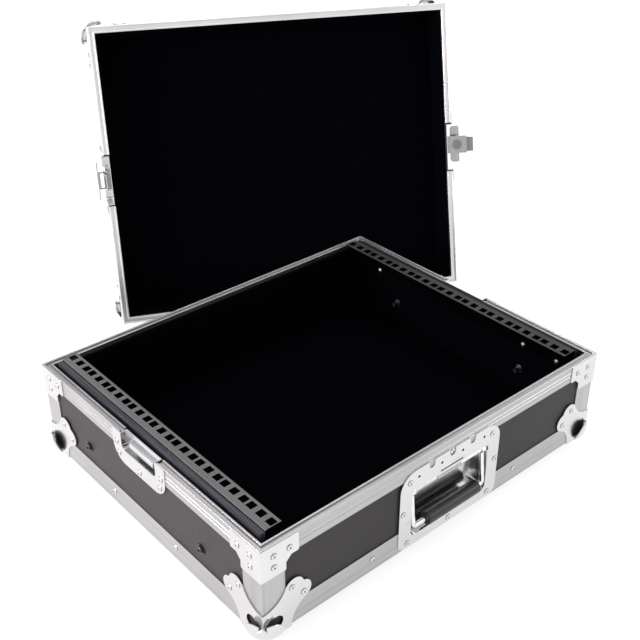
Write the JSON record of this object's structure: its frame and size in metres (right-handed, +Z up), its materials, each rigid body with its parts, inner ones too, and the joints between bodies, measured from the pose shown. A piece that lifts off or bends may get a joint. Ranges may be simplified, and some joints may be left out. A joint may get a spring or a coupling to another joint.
{
  "type": "rack equipment flight case",
  "caption": "Low flight case for rack equipment, with edged and cornered wooden tray, rack rails, spring handle and a lift-off lid with butterfly latches standing behind it.",
  "frame": {"origin": "on the floor, under the middle of the base", "axes": "+Z up; +X to the right along the handle side; +Y away from the handle side, towards the lid"},
  "size_m": [0.7798, 0.7782, 0.4372],
  "materials": {
    "laminate": "matte",
    "aluminium": "satin",
    "plated_steel": "satin",
    "chrome": "polished",
    "rail_black": "satin",
    "strip_dark": "satin",
    "bolt_dark": "satin",
    "grip_rubber": "matte",
    "foam": "matte"
  },
  "bodies": {
    "base": {"base_bottom_panel": "laminate", "base_front_panel": "laminate", "base_rear_panel": "laminate", "base_left_panel": "laminate", "base_right_panel": "laminate", "base_rim_front": "aluminium", "base_rim_rear": "aluminium", "base_rim_left": "aluminium", "base_rim_right": "aluminium", "base_edge_angles": "aluminium", "base_corner_angles": "aluminium", "base_ball_corners": "plated_steel", "base_rim_braces": "plated_steel", "base_rivets": "plated_steel", "base_foam_floor": "foam", "base_foam_walls": "foam", "rack_rail_right": "rail_black", "rack_rail_left": "rail_black", "mounting_strip_right": "strip_dark", "mounting_strip_left": "strip_dark", "rail_screws": "plated_steel", "wall_bolts": "bolt_dark", "wall_bolt_washers": "bolt_dark", "wall_tee_nuts": "plated_steel", "keeper_dish_right": "plated_steel", "keeper_dish_left": "plated_steel", "catch_bar_right": "plated_steel", "catch_bar_left": "plated_steel", "handle_dish": "plated_steel", "handle_hinge_pin": "plated_steel", "handle_spring": "plated_steel"},
    "handle": {"handle_bail": "chrome", "handle_grip": "grip_rubber"},
    "lid": {"lid_closed_panel": "laminate", "lid_lower_panel": "laminate", "lid_upper_panel": "laminate", "lid_right_panel": "laminate", "lid_left_panel": "laminate", "lid_rim_lower": "aluminium", "lid_rim_upper": "aluminium", "lid_rim_left": "aluminium", "lid_rim_right": "aluminium", "lid_edge_angles": "aluminium", "lid_corner_angles": "aluminium", "lid_ball_corners": "plated_steel", "lid_rivets": "plated_steel", "lid_foam_sheet": "foam", "lid_foam_walls": "foam", "latch_dish_right": "plated_steel", "latch_dish_left": "plated_steel", "latch_pin_right": "plated_steel", "latch_pin_left": "plated_steel"},
    "latch_plate_right": {"latch_swing_plate_right": "plated_steel"},
    "latch_rotor_right": {"latch_rotor_right": "plated_steel"},
    "latch_hook_right": {"latch_hook_right": "plated_steel"},
    "latch_wing_right": {"latch_wing_right": "plated_steel"},
    "latch_plate_left": {"latch_swing_plate_left": "plated_steel"},
    "latch_rotor_left": {"latch_rotor_left": "plated_steel"},
    "latch_hook_left": {"latch_hook_left": "plated_steel"},
    "latch_wing_left": {"latch_wing_left": "plated_steel"}
  },
  "joints": [
    {"name": "lid_lift", "type": "slide", "parent": "base", "child": "lid", "axis": [0, 0, 1], "range_m": [0, 0.45]},
    {"name": "handle_swing", "type": "hinge", "parent": "base", "child": "handle", "pos_m": [0.0055, -0.21, 0.0845], "axis": [-1, 0, 0], "range_deg": [0, 90], "stiffness_Nm_per_rad": 0.05, "springref_deg": -34.38},
    {"name": "latch_swing_right", "type": "hinge", "parent": "lid", "child": "latch_plate_right", "pos_m": [0.45981, 0.23519, 0.22047], "axis": [0.1278, 0.255, 0.9585], "range_deg": [-65, 0]},
    {"name": "rotor_turn_right", "type": "hinge", "parent": "latch_plate_right", "child": "latch_rotor_right", "pos_m": [0.47338, 0.21747, 0.22338], "axis": [0.767, 0.5872, -0.2585], "range_deg": [0, 180]},
    {"name": "hook_slide_right", "type": "slide", "parent": "latch_plate_right", "child": "latch_hook_right", "axis": [0.6287, -0.7682, 0.1205], "range_m": [0, 0.01]},
    {"name": "wing_fold_right", "type": "hinge", "parent": "latch_rotor_right", "child": "latch_wing_right", "pos_m": [0.48258, 0.22451, 0.22028], "axis": [-0.1278, -0.255, -0.9585], "range_deg": [0, 90]},
    {"name": "latch_swing_left", "type": "hinge", "parent": "lid", "child": "latch_plate_left", "pos_m": [-0.01088, 0.4711, 0.22047], "axis": [-0.1278, -0.255, -0.9585], "range_deg": [0, 65]},
    {"name": "rotor_turn_left", "type": "hinge", "parent": "latch_plate_left", "child": "latch_rotor_left", "pos_m": [-0.01988, 0.45149, 0.22689], "axis": [-0.894, 0.4481, 0], "range_deg": [0, 180]},
    {"name": "hook_slide_left", "type": "slide", "parent": "latch_plate_left", "child": "latch_hook_left", "axis": [-0.4295, -0.8569, 0.2852], "range_m": [0, 0.01]},
    {"name": "wing_fold_left", "type": "hinge", "parent": "latch_rotor_left", "child": "latch_wing_left", "pos_m": [-0.03061, 0.45686, 0.22689], "axis": [0.1278, 0.255, 0.9585], "range_deg": [0, 90]}
  ],
  "couplings": [
    {"joint": "hook_slide_right", "follows": "rotor_turn_right", "m_per_rad": 0.0031831},
    {"joint": "hook_slide_left", "follows": "rotor_turn_left", "m_per_rad": 0.0031831}
  ]
}
